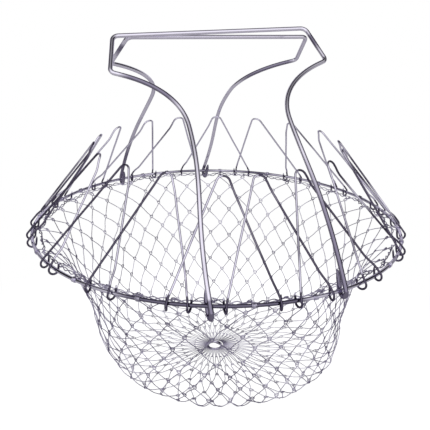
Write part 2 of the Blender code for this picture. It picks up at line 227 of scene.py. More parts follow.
class Socket:
    """An output socket of a node tree. A sum on it adds Math nodes to the tree."""

    def __init__(self, tree, link=None):
        self.tree = tree
        self.link = link

    def node(self, kind, options=None, inputs=None, output=0):
        """A new node: its settings are set first, then the values or links of its sockets."""
        made = self.tree.nodes.new(kind)
        for name, value in (options or {}).items():
            if name == "stops":
                set_stops(made.color_ramp, value)
            else:
                setattr(made, name, value)
        for name, value in (inputs or {}).items():
            self.feed(made.inputs[name], value)
        return Socket(self.tree, made.outputs[output]) if made.outputs else made

    def feed(self, target, value):
        """Set a socket's value, or link it."""
        if isinstance(value, Socket):
            self.tree.links.new(value.link, target)
        else:
            target.default_value = value

    def other(self, output):
        """Another output of the same node."""
        return Socket(self.tree, self.link.node.outputs[output])

    def math(self, operation, *values):
        return self.node("ShaderNodeMath", {"operation": operation}, dict(enumerate(values)))

    def vector(self, operation, *values, output=0):
        return self.node("ShaderNodeVectorMath", {"operation": operation}, dict(enumerate(values)), output)

    def combined(self, x, y, z):
        """A vector from three numbers."""
        return self.node("ShaderNodeCombineXYZ", inputs={"X": x, "Y": y, "Z": z})

    def scaled(self, factor):
        """This vector times a number."""
        made = self.vector("SCALE", self)
        self.feed(made.link.node.inputs["Scale"], factor)
        return made

    def faded(self, low, high, at_low, at_high):
        """A soft change from one value to another while this goes from low to high."""
        return self.node(
            "ShaderNodeMapRange", {"interpolation_type": "SMOOTHSTEP"},
            {"Value": self, "From Min": low, "From Max": high, "To Min": at_low, "To Max": at_high},
        )

    def stored(self, name, kind, value):
        """This geometry with a value kept at its points."""
        return self.node(
            "GeometryNodeStoreNamedAttribute", {"data_type": kind, "domain": "POINT"},
            {"Geometry": self, "Name": name, "Value": value},
        )

    def named(self, name):
        """A number that is kept at the points."""
        return self.node("GeometryNodeInputNamedAttribute", {"data_type": "FLOAT"}, {"Name": name})

    def __add__(self, value):
        return self.math("ADD", self, value)

    def __radd__(self, value):
        return self.math("ADD", value, self)

    def __sub__(self, value):
        return self.math("SUBTRACT", self, value)

    def __rsub__(self, value):
        return self.math("SUBTRACT", value, self)

    def __mul__(self, value):
        return self.math("MULTIPLY", self, value)

    def __rmul__(self, value):
        return self.math("MULTIPLY", value, self)

    def __truediv__(self, value):
        return self.math("DIVIDE", self, value)

    def __rtruediv__(self, value):
        return self.math("DIVIDE", value, self)


def set_stops(ramp, stops):
    """Give a colour ramp its stops: (place, grey)."""
    while len(ramp.elements) < len(stops):
        ramp.elements.new(1)
    for element, (place, grey) in zip(ramp.elements, stops):
        element.position = place
        element.color = (grey, grey, grey, 1)


MERGE_GAP = 0.02 * MM
NOISE_MIDDLE = (0.5, 0.5, 0.5)
NOISE_SPREAD = 3.2
SEED_STEPS = (1.7, 2.3)


def wire_tree():
    """Geometry tree that turns drawn lines into round wire, repeated round the Z axis."""
    if "basket wire" in bpy.data.node_groups:
        return bpy.data.node_groups["basket wire"]
    tree = bpy.data.node_groups.new("basket wire", "GeometryNodeTree")
    sockets = (
        ("Lines", "NodeSocketGeometry", None),
        ("Wire", "NodeSocketFloat", 1 * MM),
        ("Sides", "NodeSocketInt", 8),
        ("Repeats", "NodeSocketInt", 1),
        ("Wander", "NodeSocketFloat", 0.0),
        ("Wander Length", "NodeSocketFloat", 25 * MM),
        ("Ripple", "NodeSocketFloat", 0.0),
        ("Ripple Length", "NodeSocketFloat", 6 * MM),
        ("Seed", "NodeSocketFloat", 0.0),
        ("Sway", "NodeSocketVector", (0.0, 0.0, 0.0)),
        ("Sway Height", "NodeSocketFloat", 100 * MM),
        ("Sway Radius", "NodeSocketFloat", 60 * MM),
        ("Material", "NodeSocketMaterial", None),
    )
    for name, kind, default in sockets:
        item = tree.interface.new_socket(name, in_out="INPUT", socket_type=kind)
        if default is not None:
            item.default_value = default
    tree.interface.new_socket("Wires", in_out="OUTPUT", socket_type="NodeSocketGeometry")

    start = Socket(tree)
    given = start.node("NodeGroupInput")
    wire, sides, repeats, seed = (given.other(name) for name in ("Wire", "Sides", "Repeats", "Seed"))

    step = start.node("GeometryNodeInputIndex") * TURN / repeats
    turned = start.combined(0.0, 0.0, step)
    spots = start.node("GeometryNodePoints", inputs={"Count": repeats})
    rounds = start.node(
        "GeometryNodeInstanceOnPoints",
        inputs={"Points": spots, "Instance": given.other("Lines"), "Rotation": turned},
    )
    rounds = start.node("GeometryNodeRealizeInstances", inputs={"Geometry": rounds})
    lines = start.node("GeometryNodeMergeByDistance", inputs={"Geometry": rounds, "Distance": MERGE_GAP})

    place = start.node("GeometryNodeInputPosition")
    loose = start.named("loose")
    shifted = start.combined(seed, seed * SEED_STEPS[0], seed * SEED_STEPS[1])
    offset = None
    for size, span in (("Wander", "Wander Length"), ("Ripple", "Ripple Length")):
        moved = start.vector("ADD", place.scaled(1 / given.other(span)), shifted)
        noise = start.node(
            "ShaderNodeTexNoise", inputs={"Vector": moved, "Scale": 1.0, "Detail": 1.0}, output="Color",
        )
        centred = start.vector("SUBTRACT", noise, NOISE_MIDDLE)
        stray = centred.scaled(given.other(size) * NOISE_SPREAD * loose)
        offset = stray if offset is None else start.vector("ADD", offset, stray)
    lines = start.node("GeometryNodeSetPosition", inputs={"Geometry": lines, "Offset": offset})

    split = start.node("ShaderNodeSeparateXYZ", inputs={"Vector": place})
    across, height = split.other("Y"), split.other("Z")
    depth = start.math("MAXIMUM", 1 - height / given.other("Sway Height"), 0.0)
    from_axis = start.math("SQRT", split * split + across * across)
    amount = depth * depth * start.math("MINIMUM", from_axis / given.other("Sway Radius"), 1.0)
    swayed = given.other("Sway").scaled(amount)
    lines = start.node("GeometryNodeSetPosition", inputs={"Geometry": lines, "Offset": swayed})
    lifted = start.math("MAXIMUM", height, wire / 2)
    kept = start.combined(split, across, lifted)
    lines = start.node("GeometryNodeSetPosition", inputs={"Geometry": lines, "Position": kept})

    curve = start.node("GeometryNodeMeshToCurve", inputs={"Mesh": lines})
    curve = curve.stored("run", "FLOAT", start.node("GeometryNodeSplineParameter", output="Length"))
    outline = {"Resolution": sides, "Radius": wire / 2}
    profile = start.node("GeometryNodeCurvePrimitiveCircle", inputs=outline)
    about = start.node("GeometryNodeSplineParameter", output="Factor") * TURN
    profile = profile.stored("about", "FLOAT", about)
    tube = start.node(
        "GeometryNodeCurveToMesh",
        inputs={"Curve": curve, "Profile Curve": profile, "Scale": start.named("thick"), "Fill Caps": True},
    )
    around = start.named("about")
    beside, above = (start.math(part, around) * wire for part in ("COSINE", "SINE"))
    grain = start.combined(start.named("run"), beside, above)
    tube = tube.stored("grain", "FLOAT_VECTOR", grain)
    tube = start.node("GeometryNodeSetShadeSmooth", inputs={"Geometry": tube, "Shade Smooth": True})
    tube = start.node("GeometryNodeRealizeInstances", inputs={"Geometry": tube})
    finished = {"Geometry": tube, "Material": given.other("Material")}
    tube = start.node("GeometryNodeSetMaterial", inputs=finished)
    start.node("NodeGroupOutput", inputs={"Wires": tube})
    return tree


def drawn_lines(name, lines):
    """Mesh of edges from lines: (points, closed, looseness, thickness share, painted light and shade) of
    each.
    """
    mesh = bpy.data.meshes.new(name)
    verts, edges = [], []
    shares = {"loose": [], "thick": [], "shine": []}
    for points, closed, *line_shares in lines:
        first = len(verts)
        verts += [tuple(point) for point in points]
        edges += [(first + step, first + step + 1) for step in range(len(points) - 1)]
        if closed:
            edges.append((len(verts) - 1, first))
        for values, value in zip(shares.values(), line_shares):
            values += list(np.broadcast_to(value, len(points)))
    mesh.from_pydata(verts, edges, [])
    for label, values in shares.items():
        attribute = mesh.attributes.new(label, "FLOAT", "POINT")
        attribute.data.foreach_set("value", np.array(values, np.float32))
    return mesh


def new_object(name, data):
    """An object that is linked to the scene."""
    made = bpy.data.objects.new(name, data)
    bpy.context.scene.collection.objects.link(made)
    return made


def make_wires(name, lines, material, **inputs):
    """Run lines through the wire tree, and keep the result as one plain mesh object."""
    piece = new_object(name, drawn_lines(name, lines))
    tree = wire_tree()
    modifier = piece.modifiers.new("wire", "NODES")
    modifier.node_group = tree
    values = {label.replace("_", " ").title(): value for label, value in inputs.items()}
    values["Material"] = material
    for item in tree.interface.items_tree:
        if item.in_out == "INPUT" and item.name in values:
            modifier[item.identifier] = values[item.name]
    depsgraph = bpy.context.evaluated_depsgraph_get()
    made = bpy.data.meshes.new_from_object(piece.evaluated_get(depsgraph), depsgraph=depsgraph)
    piece.modifiers.remove(modifier)
    piece.data = made
    made.name = name
    if not made.polygons:
        raise RuntimeError(f"{name} came out empty")
    for label in ("loose", "thick", "run", "about"):
        if label in made.attributes:
            made.attributes.remove(made.attributes[label])
    return piece


def stand_for(piece, body, slot, *nodes):
    """Parent a finished piece to the body it rides on, and hide the CAD nodes it stands for."""
    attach(piece, body)
    if nodes:
        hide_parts(*nodes)


# Finishes.


DRAWN_SCALE = (40.0, 1500.0, 1500.0)
STREAK_ROUGHNESS = 0.08
PATCH_EDGE = 0.1

# Of each finish: its colours, the size of its random patches, the share of the ramp that gives the dark
# colour, and the slope of painted light. The slope is the direction in which the base colour is painted
# lighter, as a share for each metre.
FINISHES = {
    "rim wire": ("rim", 45 * MM, 0.5, (0.0, 0.0, 0.0)),
    "prong wire": ("prong", 30 * MM, 0.55, (0.0, 1.2, 3.0)),
    "handle wire": ("handle", 60 * MM, 0.56, (0.0, 0.0, 6.0)),
    "net wire": ("net", 14 * MM, 0.5, (0.0, 0.0, 0.0)),
    "centre ring wire": ("rim", 8 * MM, 0.45, (0.0, 0.0, 0.0)),
    "tie wire": ("prong", 9 * MM, 0.42, (0.0, 0.0, 0.0)),
}


def wire_finish(name):
    """Drawn steel wire: random brighter and darker patches, painted light and painted shade on top of them,
    and fine lines along the wire.
    """
    colours, spread, dark_share, painted_light_slope = FINISHES[name]
    finish = settings().finish
    bright, darker = getattr(finish, colours), getattr(finish, colours + "_dark")
    roughness = finish.net_roughness if colours == "net" else finish.roughness
    material = bpy.data.materials.new(name)
    material.use_nodes = True
    tree = material.node_tree
    shader = tree.nodes["Principled BSDF"]
    start = Socket(tree)
    place = start.node("ShaderNodeTexCoord", output="Object")
    # Painted light: the base colour grows lighter along the finish's slope. It grows upward for the
    # handles, and upward and toward the back for the prongs.
    from_rim = start.vector("SUBTRACT", place, (0.0, 0.0, RIM_HEIGHT))
    painted_light_growth = start.vector("DOT_PRODUCT", from_rim, painted_light_slope, output="Value")
    # Painted light and shade, laid on each point by the rim, prong and handle builders, shifts the base
    # colour toward the bright or the dark colour.
    shine = start.node("ShaderNodeAttribute", {"attribute_name": "shine"}, output="Fac")
    grain = start.node("ShaderNodeAttribute", {"attribute_name": "grain"}, output="Vector")
    drawn = start.vector("MULTIPLY", grain, DRAWN_SCALE)
    streaks = start.node("ShaderNodeTexNoise", inputs={"Vector": drawn, "Scale": 1.0, "Detail": 1.0})
    patches = start.node("ShaderNodeTexNoise", inputs={"Vector": place, "Scale": 1 / spread, "Detail": 1.0})
    stops = ((dark_share - PATCH_EDGE, 0.0), (dark_share + PATCH_EDGE, 1.0))
    shade = start.node("ShaderNodeValToRGB", {"stops": stops}, {"Fac": patches + painted_light_growth + shine})
    tint = start.node(
        "ShaderNodeMix", {"data_type": "RGBA"},
        {"Factor": shade, 6: (*darker, 1), 7: (*bright, 1)}, output=2,
    )
    start.feed(shader.inputs["Base Color"], tint)
    start.feed(shader.inputs["Roughness"], streaks * STREAK_ROUGHNESS + (roughness - STREAK_ROUGHNESS / 2))
    shader.inputs["Metallic"].default_value = 1
    shader.inputs["Specular Tint"].default_value = (*finish.edge, 1)
    return material


# Lines of the wires. A hooked piece is drawn in its own plane: X along the chord of its
# feet, Y inward, Z up its slope, with the origin on its hinge.


def bend(points, radii, steps):
    """Round the inner corners of an open outline with arcs."""
    rounded = [points[0]]
    for before, corner, after, radius in zip(points, points[1:], points[2:], radii):
        back = (before - corner).normalized()
        ahead = (after - corner).normalized()
        half = back.angle(ahead) / 2
        centre = corner + (back + ahead).normalized() * radius / math.sin(half)
        start = corner + back * radius / math.tan(half) - centre
        turn = (math.pi - 2 * half) * (-1 if back.x * ahead.y - back.y * ahead.x > 0 else 1)
        for step in range(steps + 1):
            swing = Matrix.Rotation(turn * step / steps, 2) @ start
            rounded.append(centre + swing)
    rounded.append(points[-1])
    return rounded


def sweep(start, pull_start, pull_end, end, steps):
    """Points of a cubic curve, both ends included."""
    points = []
    for step in range(steps + 1):
        t = step / steps
        s = 1 - t
        pulled = pull_start * (3 * s * s * t) + pull_end * (3 * s * t * t)
        points.append(start * s ** 3 + pulled + end * t ** 3)
    return points


def filled(points, spacing):
    """Add points on long straight stretches, so that the wander can bend them."""
    dense = [points[0]]
    for start, end in zip(points, points[1:]):
        pieces = max(1, round((end - start).length / spacing))
        dense += [start.lerp(end, (step + 1) / pieces) for step in range(pieces)]
    return dense


EYE_STEPS = 18
TAIL_STEPS = 5


def eye_line(sizes):
    """Radius of the eye round the rim, and its (outward, up) points from the tail's tip to the foot."""
    radius = (RIM_WIRE + sizes.wire) / 2 + sizes.eye_clearance
    drop, tail_turn = sizes.eye_drop, sizes.tail_turn
    tail_start = Vector((-radius * math.cos(tail_turn), radius * math.sin(tail_turn) - drop))
    tail = Vector((math.sin(tail_turn), math.cos(tail_turn))) * sizes.tail_length
    outline = [tail_start + tail * (1 - step / TAIL_STEPS) for step in range(TAIL_STEPS)]
    first = math.pi - tail_turn
    for step in range(EYE_STEPS + 1):
        turn = first + (TURN - first) * step / EYE_STEPS
        outline.append(Vector((radius * math.cos(turn), radius * math.sin(turn) - drop)))
    return radius, outline


def smooth_ramp(value):
    """From nothing to all, with soft ends."""
    held = np.clip(value, 0, 1)
    return held * held * (3 - 2 * held)


PEAK_STEPS = 10
PRONG_SPACING = 2.5 * MM
WEAVE_END_RADII = 2.2


def prong_line():
    """Centreline of a prong, from tail to tail."""
    sizes = settings().prong
    eye_radius, eye = eye_line(sizes)
    foot = sizes.foot_width / 2
    corners = [Vector((-foot, 0)), Vector((0, sizes.apex_height)), Vector((foot, 0))]
    outline = filled(bend(corners, [sizes.peak_radius], PEAK_STEPS), PRONG_SPACING)[1:-1]
    weave_end = sizes.apex_height - sizes.peak_radius * WEAVE_END_RADII

    def bow(across, height):
        if across < 0:
            return 0
        rise = smooth_ramp((height - sizes.weave_start) / sizes.weave_rise)
        fall = smooth_ramp((weave_end - height) / sizes.weave_rise)
        return sizes.weave * min(rise, fall)

    left = [Vector((-foot, -out, up)) for out, up in eye]
    right = [Vector((foot, -out, up)) for out, up in reversed(eye)]
    legs = [Vector((across, bow(across, up) - eye_radius, up)) for across, up in outline]
    return left + legs + right


def handle_side(height, eye_radius):
    """Side view of a handle: (outward, up) where its outline has this height."""
    sizes = settings().handle
    curvature = sizes.bend / (sizes.bend_end - sizes.bend_start)
    in_bend = min(max(height, sizes.bend_start), sizes.bend_end) - sizes.bend_start
    turned = curvature * in_bend
    below = min(height, sizes.bend_start)
    above = max(height - sizes.bend_end, 0)
    outward = eye_radius - (1 - math.cos(turned)) / curvature - above * math.sin(turned)
    up = below + math.sin(turned) / curvature + above * math.cos(turned)
    return outward, up


HANDLE_SPACING = 3 * MM
LEG_STEPS = 30
FLARE_STEPS = 24
CORNER_STEPS = 12
SHELF_RADII = 2
FOOT_PULL = 0.5
NECK_PULL = 0.62
FLARE_PULL = 0.54
SHELF_PULL = 0.5


def handle_line():
    """Centreline of a handle, from tail to tail."""
    sizes = settings().handle
    eye_radius, eye = eye_line(sizes)
    foot = Vector((sizes.foot_width / 2, 0))
    neck = Vector((sizes.neck_width / 2, sizes.neck_height))
    shoulder = Vector((sizes.shoulder_width / 2, sizes.shoulder_height))
    grip_corner = Vector((sizes.grip_width / 2, sizes.grip_height))
    inward = Vector((-math.cos(sizes.shoulder_slope), -math.sin(sizes.shoulder_slope)))
    shelf = shoulder + inward * SHELF_RADII * sizes.shoulder_radius
    foot_pull = Vector((foot.x, neck.y * FOOT_PULL))
    neck_pull = Vector((neck.x, neck.y * NECK_PULL))
    leg = sweep(foot, foot_pull, neck_pull, neck, LEG_STEPS)
    flare_pull = Vector((neck.x, neck.y + (shelf.y - neck.y) * FLARE_PULL))
    shelf_pull = shelf + inward * (shelf.x - neck.x) * SHELF_PULL
    flare = sweep(neck, flare_pull, shelf_pull, shelf, FLARE_STEPS)
    head = bend(
        [shelf, shoulder, grip_corner, Vector((0, sizes.grip_height))],
        [sizes.shoulder_radius, sizes.grip_radius], CORNER_STEPS,
    )
    half = [Vector((foot.x, -out, up)) for out, up in eye]
    for across, height in filled(leg + flare[1:] + head[1:], HANDLE_SPACING):
        out, up = handle_side(height, eye_radius)
        half.append(Vector((across, -out, up)))
    mirrored = [Vector((-place.x, place.y, place.z)) for place in reversed(half[:-1])]
    return half + mirrored


def hinge_matrix(joint, lean, roll=0):
    """From a hooked piece's own plane to the basket, at rest."""
    axis = Vector(joint["axis"])
    azimuth = math.atan2(axis.x, -axis.y)
    attitude = Euler((-lean, -roll, azimuth + TURN / 4), "YXZ").to_matrix().to_4x4()
    return Matrix.Translation(joint["pos_m"]) @ attitude


ROUND_END = (0.35, 0.8)


def end_shares(path):
    """Thickness shares of a cut wire, rounded at both ends."""
    shares = np.ones(len(path))
    shares[: len(ROUND_END)] = ROUND_END
    shares[-len(ROUND_END):] = ROUND_END[::-1]
    return shares


def polar(radius, azimuth, height):
    return Vector((radius * math.cos(azimuth), radius * math.sin(azimuth), height))


def camera_back(stage):
    """Direction from the basket to the camera."""
    side, rise = stage.camera_side, stage.camera_rise
    return Vector((math.cos(side) * math.cos(rise), math.sin(side) * math.cos(rise), math.sin(rise)))


# The net's bowl. Its run is measured along the wall, from the top to the middle.

NET_PROFILE_SHARES = (
    (1.0, 0.0),
    (0.955, 0.05),
    (0.905, 0.12),
    (0.855, 0.25),
    (0.808, 0.42),
    (0.772, 0.6),
    (0.745, 0.77),
    (0.717, 0.9),
    (0.675, 0.965),
    (0.596, 1.0),
    (0.40, 1.0),
    (0.20, 1.0),
)
MIDDLE_RADIUS = 5.6 * MM
PROFILE_STEPS = 12
SLOPE_STEP = 0.5 * MM


class BowlProfile:
    """Radius, height and outward direction of the bowl along its run."""

    def __init__(self):
        sizes = settings().net
        top_radius = RIM_RADIUS - sizes.top_inset
        top_height = RIM_HEIGHT - sizes.top_drop
        depth = top_height - sizes.base_lift
        corners = [(top_radius * wide, top_height - depth * deep) for wide, deep in NET_PROFILE_SHARES]
        corners.append((MIDDLE_RADIUS, sizes.base_lift))
        places = self.rounded(np.array(corners))
        steps = np.linalg.norm(np.diff(places, axis=0), axis=1)
        self.runs = np.concatenate([[0], np.cumsum(steps)])
        self.places = places
        self.length = self.runs[-1]

    @staticmethod
    def rounded(corners):
        """A smooth line through the corners."""
        padded = np.vstack([2 * corners[0] - corners[1], corners, 2 * corners[-1] - corners[-2]])
        places = []
        for a, b, c, d in zip(padded, padded[1:], padded[2:], padded[3:]):
            for step in range(PROFILE_STEPS):
                t = step / PROFILE_STEPS
                places.append(
                    0.5 * (2 * b + (c - a) * t + (2 * a - 5 * b + 4 * c - d) * t * t
                           + (3 * b - a - 3 * c + d) * t ** 3)
                )
        places.append(corners[-1])
        return np.array(places)

    def at(self, run):
        held = min(max(run, 0), self.length)
        radius, height = (np.interp(held, self.runs, self.places[:, axis]) for axis in (0, 1))
        return radius, height

    def point(self, run, azimuth, aside=0.0, outward=0.0):
        """A point of the bowl, moved aside along the round and outward from the wall."""
        radius, height = self.at(run)
        ahead = self.at(run + SLOPE_STEP)
        behind = self.at(run - SLOPE_STEP)
        slope = Vector((ahead[0] - behind[0], ahead[1] - behind[1])).normalized()
        radius_out = radius - slope.y * outward
        height_out = height + slope.x * outward
        return polar(radius_out, azimuth + aside / radius_out, height_out)


# A knot's ring and the flat link under it. Shares are of the pitch, the link or the ring.

LINK_SHARE = 0.27
RING_SHARE = 0.2
RING_DROP = 0.3
RING_LIFT = 0.3 * MM
STRAND_RISE = 0.9 * MM
STRAND_REACH = 0.95
STRAND_TAPER = 0.3
STRAND_SIDE = 0.25
STRAND_SHARES = (0.0, 0.25, 0.5, 0.75, 0.96)
LINK_BEND = 0.75
LINK_SAG = 0.7
LINK_RISE = 0.15 * MM
RING_TURNS = (0.22, 0.42, 0.6, 0.78, 0.94)
RING_TILT = 0.6


def course_line(bowl, course):
    """One column of a course: from a flat link's middle, round a knot ring, to the next link."""
    sizes = settings().net
    pitch = TURN / sizes.columns
    top = bowl.length * course / sizes.courses
    bottom = bowl.length * (course + 1) / sizes.courses
    azimuth = course % 2 / 2 * pitch
    low_azimuth = azimuth - pitch / 2
    link = min(sizes.link_width / 2, LINK_SHARE * pitch * bowl.at(bottom)[0])
    ring = min(sizes.knot_radius, RING_SHARE * pitch * bowl.at(top)[0])
    centre = top + ring * (1 if course == 0 else RING_DROP)
    foot = bottom - STRAND_RISE

    def strand(share):
        """From the link's corner (0) to the ring (1)."""
        run = foot - (foot - centre - STRAND_REACH * ring) * share
        left = 1 - share
        across = -pitch / 2 * left * bowl.at(run)[0]
        across += link * left * (1 - STRAND_TAPER * share) - STRAND_SIDE * ring * share
        return bowl.point(run, azimuth, across, RING_LIFT * share)

    half = [
        bowl.point(bottom + RING_LIFT, low_azimuth),
        bowl.point(bottom + RING_LIFT * LINK_SAG, low_azimuth, link * LINK_BEND),
        bowl.point(bottom - LINK_RISE, low_azimuth, link),
    ]
    half += [strand(share) for share in STRAND_SHARES]
    for share in RING_TURNS:
        turn = share * math.pi
        outward = RING_LIFT * (RING_TILT - share)
        half.append(bowl.point(centre + ring * math.cos(turn), azimuth, ring * math.sin(turn), outward))
    mirror = Matrix.Rotation(2 * azimuth, 4, "Z") @ Matrix.Scale(-1, 4, (0, 1, 0))
    return half + [mirror @ point for point in reversed(half)]


FIRM_COURSES = 3
FIRST_LOOSENESS = 0.3
FIRM_RADIUS = 6 * MM
LOOSE_RADIUS = 25 * MM


def course_radius(bowl, course):
    """The bowl's radius halfway down a course."""
    return bowl.at(bowl.length * (course + 0.5) / settings().net.courses)[0]


def net_looseness(bowl, course):
    """Share of the wander: little at the top and the middle, full between."""
    from_top = min(1, (course + FIRST_LOOSENESS) / FIRM_COURSES)
    from_middle = min(1, max(course_radius(bowl, course) - FIRM_RADIUS, 0) / LOOSE_RADIUS)
    return from_top * from_middle


def middle_azimuth(node):
    low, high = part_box(node)
    return math.atan2(low.y + high.y, low.x + high.x)


def hook_azimuths():
    """Where the handles' hooks cross the rim."""
    places = []
    for node in HANDLES:
        axis = Vector(JOINTS[node]["axis"])
        reach = math.asin(settings().handle.foot_width / 2 / RIM_RADIUS)
        azimuth = math.atan2(axis.x, -axis.y)
        places += [azimuth - reach, azimuth + reach]
    return places


TIE_SPAN = math.radians(2.2)
HOOK_SPAN = math.radians(3.2)
HELD_SPANS = 1.6


def angle_between(azimuths, place):
    """How far azimuths are from a place, either way round."""
    return np.abs((azimuths - place + math.pi) % TURN - math.pi)


def selvage_inset(azimuths):
    """From the rim's middle in to the selvage: pulled out by the ties, clear of the hooks."""
    sizes = settings().net
    azimuths = np.asarray(azimuths)[..., None]

    def near(places, span):
        away = angle_between(azimuths, places).min(axis=-1)
        return smooth_ramp(HELD_SPANS - away / span)

    at_tie = near([middle_azimuth(node) for node in TIES], TIE_SPAN)
    inset = sizes.eye_inset + (sizes.tie_inset - sizes.eye_inset) * at_tie
    return inset + (sizes.hook_inset - inset) * near(hook_azimuths(), HOOK_SPAN)


RIM_POINTS = 240
# Painted light and shade on the rim: its sides are lightened, and its front toward the camera and its back
# are darkened.
RIM_PAINTED_LIGHT = 0.2
RIM_FRONT_PAINTED_SHADE = 0.5
RIM_BACK_PAINTED_SHADE = 0.2
RIM_PAINTED_SHADE_SPANS = 1.5


class BASKET_OT_rim(bpy.types.Operator):
    """Build the round rim wire"""

    bl_idname = "basket.rim"
    bl_label = "Rim"
    bl_options = {"REGISTER", "UNDO"}

    def execute(self, context):
        finish = context.scene.fry_basket.finish
        azimuths = np.linspace(0, TURN, RIM_POINTS, endpoint=False)
        path = [polar(RIM_RADIUS, azimuth, RIM_HEIGHT) for azimuth in azimuths]
        # Painted shade on the rim's front and back, painted light on the rest.
        away = angle_between(azimuths, finish.painted_shade_side)
        front = smooth_ramp(RIM_PAINTED_SHADE_SPANS - away / finish.painted_shade_span)
        back = smooth_ramp(RIM_PAINTED_SHADE_SPANS - (math.pi - away) / finish.painted_shade_span)
        shine = RIM_PAINTED_LIGHT - RIM_FRONT_PAINTED_SHADE * front - RIM_BACK_PAINTED_SHADE * back
        steel = wire_finish("rim wire")
        rim = make_wires("rim", [(path, True, 0, 1, shine)], steel, wire=RIM_WIRE, sides=16)
        stand_for(rim, "basket", "rim_wire", "rim_ring")
        return {"FINISHED"}


# Painted light and shade on the prongs: every leg is lightened, the front legs more. A front leg that leans
# toward the middle is darkened, more on the left, and the eyes are darkened.
PRONG_PAINTED_LIGHT = 0.12
PRONG_FRONT_PAINTED_LIGHT = 0.15
PRONG_LEFT_PAINTED_SHADE = 0.65
PRONG_RIGHT_PAINTED_SHADE = 0.36
PRONG_EYE_PAINTED_SHADE = 0.5
PRONG_EYE_TOP = 3 * MM
FRONT_DEPTH = 90 * MM
LEAN_START = 24 * MM
LEAN_SPAN = 5 * MM


class BASKET_OT_prongs(bpy.types.Operator):
    """Build the woven V-shaped prongs"""

    bl_idname = "basket.prongs"
    bl_label = "Prongs"
    bl_options = {"REGISTER", "UNDO"}

    def execute(self, context):
        sizes = context.scene.fry_basket.prong
        steel = wire_finish("prong wire")
        line = prong_line()
        for node in PRONGS:
            placed = hinge_matrix(JOINTS[node], sizes.lean)
            path = [placed @ point for point in line]
            lines = [(path, False, 1, end_shares(path), self.shine(line, placed))]
            piece = make_wires(
                node.replace("prong", "prong_wire"), lines, steel,
                wire=sizes.wire, sides=10, wander=0.12 * MM, wander_length=22 * MM, seed=3.0,
            )
            stand_for(piece, node, "prong_wire", node)
        return {"FINISHED"}

    @staticmethod
    def shine(line, placed):
        """Painted light and shade: every leg is lightened, the front legs more; a front leg that leans
        toward the middle is darkened, and so are the eyes.
        """
        finish, sizes = settings().finish, settings().prong
        facing = polar(1, finish.painted_shade_side, 0)
        right = polar(1, finish.painted_shade_side + TURN / 4, 0)
        peak = placed @ Vector((0, 0, sizes.apex_height))
        legs = {}
        for side in (-1, 1):
            foot = placed @ Vector((side * sizes.foot_width / 2, 0, 0))
            ahead = smooth_ramp(foot.dot(facing) / FRONT_DEPTH + 0.5)
            inward = abs(foot.dot(right)) - abs(peak.dot(right))
            leaning = smooth_ramp((inward - LEAN_START) / LEAN_SPAN)
            darker = PRONG_LEFT_PAINTED_SHADE if foot.dot(right) < 0 else PRONG_RIGHT_PAINTED_SHADE
            legs[side] = PRONG_PAINTED_LIGHT + ahead * (PRONG_FRONT_PAINTED_LIGHT - darker * leaning)
        return [
            legs[1 if point.x > 0 else -1] - PRONG_EYE_PAINTED_SHADE * (point.z < PRONG_EYE_TOP)
            for point in line
        ]


# Painted light and shade on the handles: one leg is lightened and the other darkened. The hooks, one sweep
# and the other side of the head are darkened.
BRIGHT_LEG_PAINTED_LIGHT = 0.12
DARK_LEG_PAINTED_SHADE = -0.18
LEG_FADE = 30 * MM
HOOK_PAINTED_SHADE = 0.6
HOOK_FADE = 5 * MM
HEAD_PAINTED_SHADE = 0.78
HEAD_RISE = 28 * MM
HEAD_FALL = 9 * MM
UPRIGHT_START = 10 * MM
UPRIGHT_END = 4 * MM


class BASKET_OT_handles(bpy.types.Operator):
    """Build the two swing handles"""

    bl_idname = "basket.handles"
    bl_label = "Handles"
    bl_options = {"REGISTER", "UNDO"}

    def execute(self, context):
        sizes = context.scene.fry_basket.handle
        steel = wire_finish("handle wire")
        line = handle_line()
        tilts = ((sizes.front_lean, sizes.front_roll), (sizes.rear_lean, sizes.rear_roll))
        for node, (lean, roll) in zip(HANDLES, tilts):
            placed = hinge_matrix(JOINTS[node], lean, roll)
            path = [placed @ point for point in line]
            lines = [(path, False, 0, end_shares(path), self.shine(line))]
            piece = make_wires(node + "_wire", lines, steel, wire=sizes.wire, sides=16)
            stand_for(piece, node, "handle_wire", node)
        return {"FINISHED"}

    @staticmethod
    def shine(line):
        """Painted light and shade: the hooks are darkened, one leg is lightened and the other darkened, and
        one sweep and the other side of the head are darkened.
        """
        sizes = settings().handle
        neck, shoulder, grip = (
            handle_side(height, 0)[1]
            for height in (sizes.neck_height, sizes.shoulder_height, sizes.grip_height)
        )
        spans = {True: (neck, shoulder), False: (shoulder - UPRIGHT_START, grip - UPRIGHT_END)}
        shares = []
        for point in line:
            painted_bright_side = point.x < 0
            in_tail = point.y > 0 and point.z < sizes.bend_start
            hook = 1 if in_tail else smooth_ramp(1 - point.z / HOOK_FADE)
            low, high = spans[painted_bright_side]
            rise = smooth_ramp((point.z - low) / HEAD_RISE)
            fall = smooth_ramp((high - point.z) / HEAD_FALL + 0.5)
            leg = BRIGHT_LEG_PAINTED_LIGHT if painted_bright_side else DARK_LEG_PAINTED_SHADE
            leg *= smooth_ramp((neck - point.z) / LEG_FADE)
            shares.append(leg - HOOK_PAINTED_SHADE * hook - HEAD_PAINTED_SHADE * rise * fall)
        return shares


WALL_SHARE = 0.62
BASE_WIRE_SHARE = 0.8
THIN_SHARE = 0.93
FULL_WIRE_RADIUS = 26 * MM
NET_SEED = 11.0
NET_RIPPLE_LENGTH = 7 * MM
SELVAGE_LOOSENESS = 0.1
SELVAGE_WIRE_SHARE = 1.15
TWIST_POINTS = 10
TWIST_WIDTH = 0.5 * MM
TWIST_HEIGHT = 0.9 * MM

